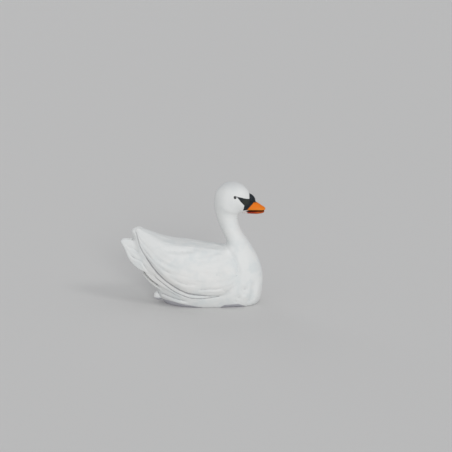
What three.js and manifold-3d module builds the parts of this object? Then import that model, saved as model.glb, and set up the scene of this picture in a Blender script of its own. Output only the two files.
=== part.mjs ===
// A small toy mute swan, swimming, moulded in plastic and painted by hand. It is about 75 mm long and
// stands on a flat cut at its waterline. Units are millimetres. +X is the way the swan faces, +Z is up,
// and the swan's left side is +Y. The origin is at the middle of the box of the whole toy, on the floor.

import * as THREE from "three";
import { mergeVertices } from "three/addons/utils/BufferGeometryUtils.js";
import Module from "manifold-3d";

const wasm = await Module();
wasm.setup();

// ---- Driving dimensions --------------------------------------------------------------------------

const PART_GAP = 0.16; // the thin cut between two neighbouring parts
const BODY_STEPS = 36; // rings along the rump, back, neck and head
const BODY_SIDES = 16;
const MANTLE_STEPS = 7; // rings along the back's and the rump's own feathers
const LEAF_STEPS = 11; // rings along one layer of a wing
const LEAF_SIDES = 12;
const FAR = 200; // larger than the toy, for cutting boxes
const ABOVE_BACK = 29; // the middles of the neck's pieces and of the head are higher than this
const SCRAP_VOLUME = 50; // a smaller piece left by a cut is a scrap, in cubic millimetres
const ROUND_EDGED = 0.9; // below 1, a section is a little squarer than an ellipse
const FLAT_EDGED = 0.8;

// ---- Paints --------------------------------------------------------------------------------------

const paint = (color, roughness) => new THREE.MeshStandardMaterial({ color, roughness, metalness: 0 });
const WHITE_PAINT = paint(0xe2e3df, 0.5);
const BLACK_PAINT = paint(0x17191b, 0.4);
const ORANGE_PAINT = paint(0xee7d14, 0.4);
const RED_ORANGE_PAINT = paint(0xb9481a, 0.45);

// ---- Solids from rings ---------------------------------------------------------------------------

// A smooth line through the given rows of numbers, as a function of u from 0 to 1.
function lineThrough(rows) {
  const points = rows.map((row) => new THREE.Vector3(...row));
  const curve = new THREE.CatmullRomCurve3(points, false, "catmullrom", 0.5);
  return (u) => curve.getPoint(u);
}

// A closed body through rings that have the same number of points, with a flat cap at each end.
function bodyThroughRings(rings) {
  const sides = rings[0].length;
  const middleOf = (ring) => ring.reduce((sum, p) => sum.add(p), new THREE.Vector3()).divideScalar(sides);
  const points = [...rings.flat(), middleOf(rings[0]), middleOf(rings.at(-1))];
  const faces = [];
  for (let r = 0; r < rings.length - 1; r++) {
    for (let s = 0; s < sides; s++) {
      const a = r * sides + s;
      const b = r * sides + ((s + 1) % sides);
      faces.push(a, b, b + sides, a, b + sides, a + sides);
    }
  }
  const [firstMiddle, lastMiddle] = [points.length - 2, points.length - 1];
  const lastRing = (rings.length - 1) * sides;
  for (let s = 0; s < sides; s++) {
    const next = (s + 1) % sides;
    faces.push(firstMiddle, next, s);
    faces.push(lastMiddle, lastRing + s, lastRing + next);
  }
  const geometry = new THREE.BufferGeometry().setFromPoints(points);
  geometry.setIndex(faces);
  return solidOf(geometry);
}

function solidOf(geometry) {
  const bare = geometry.clone();
  bare.deleteAttribute("normal");
  bare.deleteAttribute("uv");
  const merged = mergeVertices(bare, 1e-4);
  const vertProperties = merged.attributes.position.array;
  const triVerts = new Uint32Array(merged.index.array);
  const make = () => new wasm.Manifold(new wasm.Mesh({ numProp: 3, vertProperties, triVerts }));
  const solid = make();
  if (solid.volume() > 0) return solid;
  for (let i = 0; i < triVerts.length; i += 3) {
    [triVerts[i + 1], triVerts[i + 2]] = [triVerts[i + 2], triVerts[i + 1]];
  }
  return make();
}

function geometryOf(solid) {
  const mesh = solid.getMesh();
  const positions = new Float32Array(mesh.numVert * 3);
  for (let i = 0; i < mesh.numVert; i++) {
    positions.set(mesh.vertProperties.subarray(i * mesh.numProp, i * mesh.numProp + 3), i * 3);
  }
  const geometry = new THREE.BufferGeometry();
  geometry.setAttribute("position", new THREE.BufferAttribute(positions, 3));
  geometry.setIndex(new THREE.BufferAttribute(mesh.triVerts, 1));
  geometry.computeVertexNormals();
  return geometry;
}

const mirrored = (solid) => solid.mirror([0, 1, 0]);
const biggest = (solid) => solid.decompose().reduce((a, b) => (a.volume() > b.volume() ? a : b));
const signedPower = (value, power) => Math.sign(value) * Math.abs(value) ** power;

// ---- Body, neck and head -------------------------------------------------------------------------
// One form runs from the stern over the back, up the neck and round the head. Each ring hangs between a
// point on the swan's back line and a point on its belly line, and is as wide as the swan is there.

const BODY_SECTIONS = [
  // back line x, z; belly line x, z; half width; height of the widest place as a share of the ring
  { at: "stern", back: [-26.6, 28.6], belly: [-18.3, 4.4], half: 1.6, widest: 0.5 },
  { at: "rump_end", back: [-25.2, 30.6], belly: [-17.1, 1.8], half: 4.4, widest: 0.5 },
  { at: "rump", back: [-20.2, 32.2], belly: [-14.6, -1.6], half: 7.4, widest: 0.46 },
  { at: "loin", back: [-11.5, 32.6], belly: [-8.4, -4.2], half: 11.4, widest: 0.42 },
  { at: "belly", back: [-2.0, 31.9], belly: [0.0, -5.0], half: 13.1, widest: 0.4 },
  { at: "back", back: [6.5, 31.2], belly: [9.5, -5.1], half: 13.3, widest: 0.4 },
  { at: "shoulder", back: [12.6, 31.0], belly: [19.5, -4.8], half: 12.9, widest: 0.4 },
  { at: "crop", back: [16.2, 31.6], belly: [28.8, -3.4], half: 12.2, widest: 0.42 },
  { at: "breast_low", back: [17.3, 32.9], belly: [34.6, 1.3], half: 11.2, widest: 0.46 },
  { at: "breast", back: [17.2, 34.4], belly: [36.4, 11.0], half: 9.9, widest: 0.5 },
  { at: "breast_high", back: [16.4, 36.0], belly: [35.6, 19.8], half: 8.4, widest: 0.5 },
  { at: "neck_root", back: [15.4, 38.0], belly: [32.6, 27.3], half: 6.9, widest: 0.5 },
  { at: "neck_low", back: [14.2, 40.6], belly: [28.6, 34.0], half: 5.8, widest: 0.5 },
  { at: "neck_mid", back: [13.0, 43.8], belly: [24.9, 39.9], half: 5.2, widest: 0.5 },
  { at: "neck_high", back: [11.9, 47.4], belly: [23.3, 44.6], half: 5.1, widest: 0.5 },
  { at: "throat", back: [11.1, 50.8], belly: [23.5, 47.4], half: 5.6, widest: 0.5 },
  { at: "nape", back: [10.8, 54.6], belly: [24.2, 48.5], half: 6.6, widest: 0.5 },
  { at: "crown_back", back: [11.9, 60.0], belly: [24.9, 48.9], half: 7.0, widest: 0.5 },
  { at: "crown", back: [15.6, 64.1], belly: [25.5, 49.0], half: 7.0, widest: 0.5 },
  { at: "crown_top", back: [20.4, 65.3], belly: [26.1, 49.1], half: 6.7, widest: 0.5 },
  { at: "brow", back: [25.0, 64.0], belly: [26.8, 49.2], half: 6.0, widest: 0.5 },
  { at: "forehead", back: [28.2, 60.9], belly: [27.6, 49.4], half: 4.9, widest: 0.46 },
  { at: "bill_root", back: [29.7, 57.8], belly: [28.6, 49.7], half: 3.9, widest: 0.4 },
];

function bodyRing(back, belly, half, widest) {
  const across = back.clone().sub(belly);
  const middle = belly.clone().addScaledVector(across, widest);
  const ring = [];
  for (let s = 0; s < BODY_SIDES; s++) {
    const angle = (2 * Math.PI * s) / BODY_SIDES;
    const reach = Math.cos(angle) > 0 ? 1 - widest : widest;
    const point = middle.clone().addScaledVector(across, Math.cos(angle) * reach);
    ring.push(point.setY(half * Math.sin(angle)));
  }
  return ring;
}

function hungForm(sections, steps) {
  const backLine = lineThrough(sections.map((s) => [s.back[0], 0, s.back[1]]));
  const bellyLine = lineThrough(sections.map((s) => [s.belly[0], 0, s.belly[1]]));
  const widths = lineThrough(sections.map((s) => [s.half, s.widest, 0]));
  const rings = [];
  for (let i = 0; i <= steps; i++) {
    const u = i / steps;
    rings.push(bodyRing(backLine(u), bellyLine(u), widths(u).x, widths(u).y));
  }
  return bodyThroughRings(rings);
}

// The feathers of the back lie between the two wings up to their tips, and those of the rump lie under
// the tips. Both are of one piece with the trunk.

const MANTLE_SECTIONS = [
  { back: [18.0, 30.3], belly: [18.0, 26.0], half: 4.6, widest: 0.66 },
  { back: [13.2, 31.7], belly: [13.0, 26.0], half: 5.2, widest: 0.7 },
  { back: [5.6, 32.3], belly: [5.6, 26.0], half: 5.9, widest: 0.73 },
  { back: [-3.0, 33.5], belly: [-3.0, 26.0], half: 6.7, widest: 0.77 },
  { back: [-11.5, 34.6], belly: [-12.0, 27.0], half: 7.3, widest: 0.78 },
  { back: [-18.5, 36.9], belly: [-20.0, 28.0], half: 5.9, widest: 0.81 },
  { back: [-24.0, 39.4], belly: [-26.0, 30.0], half: 3.9, widest: 0.83 },
  { back: [-27.6, 40.6], belly: [-29.5, 33.0], half: 2.6, widest: 0.83 },
  { back: [-29.8, 41.0], belly: [-31.4, 35.0], half: 1.8, widest: 0.75 },
  { back: [-32.0, 39.6], belly: [-32.1, 37.0], half: 0.8, widest: 0.5 },
];

const RUMP_SECTIONS = [
  { back: [-37.0, 34.1], belly: [-37.5, 33.0], half: 0.5, widest: 0.5 },
  { back: [-34.2, 33.9], belly: [-35.7, 30.2], half: 1.1, widest: 0.5 },
  { back: [-30.2, 33.6], belly: [-32.6, 26.4], half: 2.4, widest: 0.5 },
  { back: [-26.0, 32.6], belly: [-28.4, 23.0], half: 4.0, widest: 0.5 },
  { back: [-21.5, 31.0], belly: [-24.0, 20.5], half: 5.6, widest: 0.5 },
  { back: [-17.0, 29.0], belly: [-19.5, 18.0], half: 6.6, widest: 0.5 },
];

const section = (name) => BODY_SECTIONS.find((s) => s.at === name);
const SLAB_SPARE = 4; // a cutting slab reaches past the neck
const SLAB_WIDTH = 40;

// A thin slab through the back and belly points of a section, which parts the body there.
function cutAt(name) {
  const { back, belly } = section(name);
  const [dx, dz] = [back[0] - belly[0], back[1] - belly[1]];
  const slab = new THREE.BoxGeometry(Math.hypot(dx, dz) + SLAB_SPARE, SLAB_WIDTH, PART_GAP);
  slab.rotateY(-Math.atan2(dz, dx));
  slab.translate((back[0] + belly[0]) / 2, 0, (back[1] + belly[1]) / 2);
  return solidOf(slab);
}

// A prism across the whole swan whose outline, seen from its side, is the given list of [x, z] corners.
function prismAcross(corners) {
  const outline = new THREE.Shape(corners.map(([x, z]) => new THREE.Vector2(x, z)));
  const prism = new THREE.ExtrudeGeometry(outline, { depth: SLAB_WIDTH, bevelEnabled: false });
  prism.rotateX(Math.PI / 2);
  prism.translate(0, SLAB_WIDTH / 2, 0);
  return solidOf(prism);
}

// ---- Wings ---------------------------------------------------------------------------------------
// A folded wing lies in four layers: the broad shield of coverts, the secondaries that show as a strip
// behind and below it, the primaries that reach back over the tail, and the flank feathers below. Each
// layer is a leaf: rings from its low edge to its high edge, bulging outwards.

const SHIELD = [
  // low edge x, y, z; high edge x, y, z; bulge outwards; bulge inwards. The right wing has -Y.
  { low: [23.7, -9.9, 17.2], high: [23.5, -9.5, 20.4], out: 0.5, in: 1.6 },
  { low: [22.2, -11.5, 12.6], high: [21.8, -8.6, 26.2], out: 2.3, in: 3.2 },
  { low: [18.8, -12.7, 9.2], high: [18.4, -6.0, 29.8], out: 4.0, in: 3.6 },
  { low: [13.0, -13.3, 7.5], high: [13.2, -4.3, 31.1], out: 4.9, in: 3.4 },
  { low: [5.0, -13.4, 7.8], high: [5.6, -4.8, 31.7], out: 5.3, in: 3.2 },
  { low: [-3.5, -13.3, 9.1], high: [-3.0, -5.6, 32.9], out: 5.2, in: 3.0 },
  { low: [-11.1, -12.6, 13.1], high: [-11.5, -6.1, 34.0], out: 4.3, in: 2.8 },
  { low: [-17.6, -11.3, 18.2], high: [-18.5, -4.9, 36.4], out: 3.2, in: 2.4 },
  { low: [-22.8, -9.1, 24.2], high: [-24.0, -3.2, 39.0], out: 2.1, in: 1.8 },
  { low: [-27.4, -6.5, 31.0], high: [-27.6, -2.1, 40.5], out: 1.1, in: 1.2 },
  { low: [-29.9, -2.6, 38.6], high: [-29.7, -1.9, 40.8], out: 0.4, in: 0.9 },
];

const SECONDARIES = [
  { low: [13.4, -12.7, 7.0], high: [13.6, -12.7, 7.6], out: 0.2, in: 0.6 },
  { low: [6.4, -12.9, 6.0], high: [6.8, -12.9, 8.8], out: 0.8, in: 1.6 },
  { low: [0.0, -12.9, 5.9], high: [0.8, -12.9, 9.8], out: 0.9, in: 1.8 },
  { low: [-5.0, -12.7, 7.3], high: [-3.6, -12.6, 11.8], out: 0.9, in: 1.8 },
  { low: [-10.4, -12.2, 9.8], high: [-8.4, -12.0, 15.0], out: 0.9, in: 1.8 },
  { low: [-16.2, -11.2, 14.2], high: [-13.6, -11.0, 19.8], out: 0.8, in: 1.8 },
  { low: [-20.9, -9.9, 18.2], high: [-17.8, -9.5, 24.0], out: 0.8, in: 1.7 },
  { low: [-24.5, -8.1, 22.8], high: [-21.6, -8.1, 28.0], out: 0.7, in: 1.5 },
  { low: [-27.9, -5.8, 27.6], high: [-25.0, -6.2, 32.4], out: 0.7, in: 1.3 },
  { low: [-29.6, -3.3, 32.6], high: [-27.0, -4.4, 36.8], out: 0.7, in: 1.2 },
  { low: [-31.2, -1.8, 36.4], high: [-29.0, -2.4, 39.8], out: 0.6, in: 1.0 },
  { low: [-32.0, -1.3, 38.6], high: [-31.2, -1.4, 40.0], out: 0.35, in: 0.6 },
];

const PRIMARIES = [
  { low: [-17.0, -9.6, 16.0], high: [-15.0, -9.2, 19.0], out: 0.3, in: 1.2 },
  { low: [-20.5, -9.5, 17.3], high: [-17.2, -8.4, 23.4], out: 0.5, in: 1.8 },
  { low: [-25.0, -8.3, 18.8], high: [-20.8, -7.0, 28.0], out: 0.6, in: 2.0 },
  { low: [-29.7, -6.8, 20.9], high: [-24.8, -4.6, 32.2], out: 0.8, in: 1.8 },
  { low: [-33.7, -4.5, 24.6], high: [-29.6, -2.6, 34.2], out: 0.9, in: 1.6 },
  { low: [-35.9, -2.7, 29.2], high: [-33.6, -1.5, 34.6], out: 0.8, in: 1.3 },
  { low: [-37.5, -1.5, 32.0], high: [-36.5, -1.2, 34.6], out: 0.55, in: 0.9 },
  { low: [-38.1, -1.1, 33.2], high: [-37.8, -1.1, 34.2], out: 0.3, in: 0.6 },
];

const FLANK = [
  { low: [4.0, -11.8, 4.6], high: [4.1, -11.8, 4.9], out: 0.05, in: 0.4 },
  { low: [-4.0, -11.8, 5.4], high: [-3.0, -12.1, 8.4], out: 0.6, in: 1.8 },
  { low: [-9.8, -11.3, 8.0], high: [-8.4, -11.6, 12.2], out: 0.8, in: 2.2 },
  { low: [-16.3, -10.2, 11.5], high: [-14.2, -10.2, 16.6], out: 0.8, in: 2.0 },
  { low: [-20.9, -9.0, 14.3], high: [-18.8, -9.0, 19.0], out: 0.7, in: 1.6 },
  { low: [-23.6, -8.4, 16.8], high: [-22.4, -8.4, 19.6], out: 0.5, in: 1.0 },
  { low: [-25.2, -8.1, 18.8], high: [-24.8, -8.1, 19.6], out: 0.25, in: 0.4 },
];

// A closed leaf through its sections. It is grown by `grow` on every side when it serves as a cutter.
function leaf(sections, grow = 0) {
  const lowLine = lineThrough(sections.map((s) => s.low));
  const highLine = lineThrough(sections.map((s) => s.high));
  const bulges = lineThrough(sections.map((s) => [s.out, s.in, 0]));
  const middleAt = (u) => lowLine(u).add(highLine(u)).multiplyScalar(0.5);
  const rings = [];
  for (let i = 0; i <= LEAF_STEPS; i++) {
    const u = i / LEAF_STEPS;
    const along = middleAt(Math.min(1, u + 0.01)).sub(middleAt(Math.max(0, u - 0.01))).normalize();
    const chord = highLine(u).sub(lowLine(u));
    const upward = chord.clone().normalize();
    const outward = along.clone().cross(upward).normalize();
    if (outward.y > 0) outward.negate();
    const shift = along.multiplyScalar(i === 0 ? -grow : i === LEAF_STEPS ? grow : 0);
    const ring = [];
    for (let s = 0; s < LEAF_SIDES; s++) {
      const angle = (2 * Math.PI * s) / LEAF_SIDES;
      const bulge = (Math.sin(angle) > 0 ? bulges(u).x : bulges(u).y) + grow;
      const point = middleAt(u).addScaledVector(chord, -Math.cos(angle) / 2);
      point.addScaledVector(upward, -Math.cos(angle) * grow).add(shift);
      ring.push(point.addScaledVector(outward, signedPower(Math.sin(angle), ROUND_EDGED) * bulge));
    }
    rings.push(ring);
  }
  return bodyThroughRings(rings);
}

// ---- Tail and stern ------------------------------------------------------------------------------

const TAIL = [
  // middle x, z; half width; half thickness
  [-13.0, 7.2, 6.6, 1.8],
  [-17.5, 9.2, 6.4, 1.5],
  [-21.6, 11.9, 5.6, 1.1],
  [-25.0, 14.7, 3.8, 0.9],
  [-26.9, 16.2, 1.7, 0.5],
];

const UNDERTAIL = [
  [-12.5, 3.2, 4.6, 2.2],
  [-15.6, 3.0, 4.2, 2.2],
  [-18.2, 3.6, 3.4, 2.0],
  [-20.1, 4.2, 2.3, 1.7],
  [-21.1, 4.3, 1.3, 0.9],
];

// A flat wedge across the swan, through rows of middle, half width and half thickness.
function wedge(rows, grow = 0) {
  const middles = lineThrough(rows.map(([x, z]) => [x, 0, z]));
  const halves = lineThrough(rows.map(([, , half, thick]) => [half, thick, 0]));
  const rings = [];
  for (let i = 0; i <= LEAF_STEPS; i++) {
    const u = i / LEAF_STEPS;
    const along = middles(Math.min(1, u + 0.01)).sub(middles(Math.max(0, u - 0.01))).normalize();
    const upward = new THREE.Vector3(-along.z, 0, along.x);
    const shift = along.multiplyScalar(i === 0 ? -grow : i === LEAF_STEPS ? grow : 0);
    const ring = [];
    for (let s = 0; s < LEAF_SIDES; s++) {
      const angle = (2 * Math.PI * s) / LEAF_SIDES;
      const point = middles(u).addScaledVector(upward, Math.cos(angle) * (halves(u).y + grow)).add(shift);
      ring.push(point.setY(signedPower(Math.sin(angle), FLAT_EDGED) * (halves(u).x + grow)));
    }
    rings.push(ring);
  }
  return bodyThroughRings(rings);
}

// ---- Bill ----------------------------------------------------------------------------------------

const BILL_STEPS = 10;
const BILL_SIDES = 14;
const UPPER_BILL = [
  // x; cutting edge z; ridge z; half width
  [26.8, 50.4, 56.6, 4.0],
  [29.4, 50.3, 56.4, 3.8],
  [31.6, 50.3, 55.1, 3.4],
  [33.6, 50.3, 54.0, 3.1],
  [35.4, 50.3, 52.8, 2.8],
  [36.8, 50.4, 51.9, 2.1],
  [37.5, 50.6, 51.2, 1.0],
];
const LOWER_BILL = [
  [25.6, 48.7, 50.0, 3.0],
  [29.0, 48.4, 50.0, 2.9],
  [33.0, 48.2, 50.0, 2.6],
  [35.6, 48.5, 50.0, 2.2],
  [36.9, 49.0, 50.0, 1.3],
];
const UPPER_BILL_WIDEST = 0.16; // the upper bill is widest just above its cutting edge
const LOWER_BILL_WIDEST = 0.8;

function billHalf(rows, widest) {
  const edges = lineThrough(rows);
  const halves = lineThrough(rows.map((row) => [row[3], 0, 0]));
  const rings = [];
  for (let i = 0; i <= BILL_STEPS; i++) {
    const u = i / BILL_STEPS;
    const { x, y: low, z: high } = edges(u);
    const middle = low + (high - low) * widest;
    const ring = [];
    for (let s = 0; s < BILL_SIDES; s++) {
      const angle = (2 * Math.PI * s) / BILL_SIDES;
      const reach = Math.cos(angle) > 0 ? high - middle : middle - low;
      const y = halves(u).x * signedPower(Math.sin(angle), ROUND_EDGED);
      ring.push(new THREE.Vector3(x, y, middle + reach * Math.cos(angle)));
    }
    rings.push(ring);
  }
  return bodyThroughRings(rings);
}

// The knob carries the line of the forehead down to the bill.
const KNOB = { at: [29.2, 55.9], length: 3.6, height: 2.75, half: 2.5, tilt: -Math.PI / 4, front: 29.0 };

function knob(grow = 0) {
  const ball = new THREE.SphereGeometry(1, BILL_SIDES, BILL_STEPS);
  ball.scale(KNOB.length + grow, KNOB.half + grow, KNOB.height + grow);
  ball.rotateY(-KNOB.tilt);
  ball.translate(KNOB.at[0], 0, KNOB.at[1]);
  const ahead = new THREE.BoxGeometry(FAR, FAR, FAR).translate(KNOB.front - grow + FAR / 2, 0, 0);
  return solidOf(ball).intersect(solidOf(ahead));
}

// The black mask covers the face inside this outline, whose point reaches back to the eye. It is listed
// clockwise, as seen from the swan's right.
const MASK_OUTLINE = [
  [22.9, 58.3],
  [26.2, 57.7],
  [29.1, 57.2],
  [29.0, 59.8],
  [36.0, 59.8],
  [36.0, 50.15],
  [25.7, 50.15],
  [26.4, 53.9],
];
// The orange of the upper bill starts at this slanted line.
const ORANGE_START = { low: [27.9, 50.2], high: [31.7, 55.6] };

// ---- Eyes ----------------------------------------------------------------------------------------

const EYE = { x: 21.8, z: 58.1, radius: 0.75, proud: 0.22 };
const EYE_SIDES = 10;

// A round eye that stands a little proud of the side of the head, on the swan's right.
function eye(sideY, grow = 0) {
  const ball = new THREE.SphereGeometry(EYE.radius + grow, EYE_SIDES, EYE_SIDES / 2 + 1);
  ball.translate(EYE.x, -(sideY + EYE.proud - EYE.radius), EYE.z);
  return solidOf(ball);
}

// ---- Putting it together -------------------------------------------------------------------------

const floor = solidOf(new THREE.BoxGeometry(FAR, FAR, FAR).translate(0, 0, -FAR / 2));
const leftHalf = solidOf(new THREE.BoxGeometry(FAR, FAR, FAR).translate(0, FAR / 2 - PART_GAP / 2, 0));

function bothSides(solid) {
  return solid.add(mirrored(solid));
}

const shield = leaf(SHIELD).subtract(leftHalf);
const shieldRoom = leaf(SHIELD, PART_GAP);
const secondaries = biggest(leaf(SECONDARIES).subtract(shieldRoom).subtract(leftHalf));
const secondaryRoom = leaf(SECONDARIES, PART_GAP).add(shieldRoom);
const primaries = biggest(leaf(PRIMARIES).subtract(secondaryRoom).subtract(leftHalf));
const primaryRoom = leaf(PRIMARIES, PART_GAP).add(secondaryRoom);
const flank = biggest(leaf(FLANK).subtract(primaryRoom));
const wingRoom = primaryRoom.add(leaf(FLANK, PART_GAP));

const tail = biggest(wedge(TAIL).subtract(bothSides(wingRoom)));
const undertail = biggest(wedge(UNDERTAIL).subtract(wedge(TAIL, PART_GAP)).subtract(floor));
const sternRoom = wedge(TAIL, PART_GAP).add(wedge(UNDERTAIL, PART_GAP));

// The trunk is the body up to the breast. The neck and the head are the pieces above it, from low to high.
const feathered = hungForm(BODY_SECTIONS, BODY_STEPS)
  .add(hungForm(MANTLE_SECTIONS, MANTLE_STEPS))
  .add(hungForm(RUMP_SECTIONS, MANTLE_STEPS));
let body = feathered.subtract(floor).subtract(bothSides(wingRoom)).subtract(sternRoom);
for (const name of ["breast_high", "neck_mid", "throat"]) body = body.subtract(cutAt(name));
const middleHeight = (solid) => (solid.boundingBox().min[2] + solid.boundingBox().max[2]) / 2;
const pieces = body.decompose().filter((piece) => piece.volume() > SCRAP_VOLUME);
const trunk = biggest(body);
const aboveTrunk = pieces.filter((piece) => middleHeight(piece) > ABOVE_BACK);
const [neckLow, neckHigh, wholeHead] = aboveTrunk.sort((a, b) => middleHeight(a) - middleHeight(b));

const upperBill = billHalf(UPPER_BILL, UPPER_BILL_WIDEST);
const knobRoom = knob(PART_GAP);

// Everything ahead of the slanted line where the orange starts, from a little behind or ahead of it.
function aheadOfOrangeStart(shift) {
  const { low, high } = ORANGE_START;
  const corners = [low, high, [FAR, high[1]], [FAR, -FAR], [low[0], -FAR]];
  return prismAcross(corners.map(([x, z]) => [x + shift, z]));
}

// An outline listed clockwise, moved outwards by `grow` on every side.
function grownOutline(corners, grow) {
  const at = (i) => new THREE.Vector2(...corners[(i + corners.length) % corners.length]);
  const outwards = (i) => {
    const edge = at(i + 1).sub(at(i)).normalize();
    return new THREE.Vector2(-edge.y, edge.x);
  };
  return corners.map((corner, i) => {
    const [before, after] = [outwards(i - 1), outwards(i)];
    const share = grow / (1 + before.dot(after));
    return at(i).addScaledVector(before.add(after), share).toArray();
  });
}

const maskRegion = wholeHead.add(upperBill).intersect(prismAcross(MASK_OUTLINE));
const mask = biggest(maskRegion.subtract(aheadOfOrangeStart(0)).subtract(knobRoom));
const orangeBill = biggest(upperBill.intersect(aheadOfOrangeStart(PART_GAP)).subtract(knobRoom));

const LOWER_GROWTH = [0, -PART_GAP, PART_GAP, PART_GAP];
const grownLowerBill = LOWER_BILL.map((row) => row.map((value, i) => value + LOWER_GROWTH[i]));
const lowerBillRoom = billHalf(grownLowerBill, LOWER_BILL_WIDEST);
const lowerBill = billHalf(LOWER_BILL, LOWER_BILL_WIDEST);

const maskRoom = prismAcross(grownOutline(MASK_OUTLINE, PART_GAP));
const blindHead = wholeHead.subtract(maskRoom).subtract(knobRoom).subtract(lowerBillRoom);

// The side of the head at the eye, found with a thin rod through it.
const rod = new THREE.CylinderGeometry(EYE.radius / 2, EYE.radius / 2, SLAB_WIDTH, EYE_SIDES);
rod.translate(EYE.x, 0, EYE.z);
const sideY = solidOf(rod).intersect(blindHead).boundingBox().max[1];
const head = biggest(blindHead.subtract(bothSides(eye(sideY, PART_GAP))));

const swan = new THREE.Group();

function addPart(name, solid, material) {
  const mesh = new THREE.Mesh(geometryOf(solid), material);
  mesh.name = name;
  swan.add(mesh);
}

addPart("trunk", trunk, WHITE_PAINT);
addPart("neck_lower", neckLow, WHITE_PAINT);
addPart("neck_upper", neckHigh, WHITE_PAINT);
addPart("head", head, WHITE_PAINT);
addPart("mask", mask, BLACK_PAINT);
addPart("bill_knob", knob(), BLACK_PAINT);
addPart("bill_upper", orangeBill, ORANGE_PAINT);
addPart("bill_lower", lowerBill, RED_ORANGE_PAINT);
addPart("tail", tail, WHITE_PAINT);
addPart("undertail", undertail, WHITE_PAINT);

const sidedParts = { wing_shield: shield, secondaries, primaries, flank };
for (const [name, right] of Object.entries(sidedParts)) {
  addPart(`${name}_right`, right, WHITE_PAINT);
  addPart(`${name}_left`, mirrored(right), WHITE_PAINT);
}
const rightEye = eye(sideY);
addPart("eye_right", rightEye, BLACK_PAINT);
addPart("eye_left", mirrored(rightEye), BLACK_PAINT);

const box = new THREE.Box3().setFromObject(swan);
swan.position.x = -(box.min.x + box.max.x) / 2;

export default swan;
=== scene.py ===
# A small toy mute swan, swimming, about 75 mm long: one plastic moulding, painted by hand.
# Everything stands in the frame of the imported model, in metres. Shapes are worked out in millimetres.
import math

import bpy
import numpy as np
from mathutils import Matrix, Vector, noise


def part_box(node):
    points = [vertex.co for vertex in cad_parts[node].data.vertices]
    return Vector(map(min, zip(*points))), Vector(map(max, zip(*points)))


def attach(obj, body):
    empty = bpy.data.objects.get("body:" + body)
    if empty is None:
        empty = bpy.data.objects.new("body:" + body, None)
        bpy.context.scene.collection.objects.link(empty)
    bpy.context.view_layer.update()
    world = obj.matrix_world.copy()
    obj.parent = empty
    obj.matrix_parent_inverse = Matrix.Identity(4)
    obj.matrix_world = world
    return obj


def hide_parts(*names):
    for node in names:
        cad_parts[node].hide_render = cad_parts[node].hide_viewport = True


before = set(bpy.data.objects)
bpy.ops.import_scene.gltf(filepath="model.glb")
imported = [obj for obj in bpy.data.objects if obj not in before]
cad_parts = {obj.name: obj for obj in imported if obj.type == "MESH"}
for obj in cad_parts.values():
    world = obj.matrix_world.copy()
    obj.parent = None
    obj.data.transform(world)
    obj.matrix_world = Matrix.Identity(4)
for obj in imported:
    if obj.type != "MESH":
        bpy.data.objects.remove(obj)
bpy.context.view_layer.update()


# ---- Body, neck and head ----------------------------------------------------------------------------
# The body, the neck and the head are one form of the moulding. It runs from the stern over the back,
# up the neck and round the head to the bill, and its underside is cut flat at the waterline.
MM = 0.001
BILL_TIP = 37.5
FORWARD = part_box("bill_upper")[1].x / MM - BILL_TIP  # the form's own zero, in the frame
BODY_RINGS, BODY_SIDES = 220, 96
BODY = np.array([
    # back line x, z; belly line x, z; half width; height of the widest place, as a share
    (-26.6, 28.6, -18.3, 4.4, 1.6, 0.50),
    (-25.2, 30.6, -17.1, 1.8, 4.4, 0.50),  # end of the rump
    (-20.2, 32.2, -14.6, -1.6, 7.4, 0.46),
    (-11.5, 32.6, -8.4, -4.2, 11.4, 0.42),
    (-2.0, 31.9, 0.0, -5.0, 13.1, 0.40),  # belly
    (6.5, 31.2, 9.5, -5.1, 13.3, 0.40),
    (12.6, 31.0, 19.5, -4.8, 12.9, 0.40),  # shoulder
    (16.2, 31.6, 28.8, -3.4, 12.2, 0.42),
    (17.3, 32.9, 34.6, 1.3, 11.2, 0.46),
    (17.2, 34.4, 36.4, 11.0, 9.9, 0.50),  # breast
    (16.4, 36.0, 35.6, 19.8, 8.4, 0.50),
    (15.4, 38.0, 32.6, 27.3, 6.9, 0.50),  # root of the neck
    (14.2, 40.6, 28.6, 34.0, 5.8, 0.50),
    (13.0, 43.8, 24.9, 39.9, 5.2, 0.50),
    (11.9, 47.4, 23.3, 44.6, 5.1, 0.50),
    (11.1, 50.8, 23.5, 47.4, 5.6, 0.50),  # throat
    (10.8, 54.6, 24.2, 48.5, 6.6, 0.50),
    (11.9, 60.0, 24.9, 48.9, 7.0, 0.50),
    (15.6, 64.1, 25.5, 49.0, 7.0, 0.50),  # crown
    (20.4, 65.3, 26.1, 49.1, 6.7, 0.50),
    (25.0, 64.0, 26.8, 49.2, 6.0, 0.50),  # brow
    (28.2, 60.9, 27.6, 49.4, 4.9, 0.46),
    (29.7, 57.8, 28.6, 49.7, 3.9, 0.40),  # root of the bill
])


def through(rows, share):
    """A smooth line through rows of numbers, read at shares of the way along it."""
    rows = np.asarray(rows, float)
    guides = np.vstack([2 * rows[0] - rows[1], rows, 2 * rows[-1] - rows[-2]])
    place = np.asarray(share, float) * (len(rows) - 1)
    row = np.minimum(place.astype(int), len(rows) - 2)
    t = (place - row)[..., None]
    before, start, end, after = (guides[row + i] for i in range(4))
    leave, arrive = (end - before) / 2, (after - start) / 2
    rise = end - start
    return start + t * leave + t**2 * (3 * rise - 2 * leave - arrive) + t**3 * (leave + arrive - 2 * rise)


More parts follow.
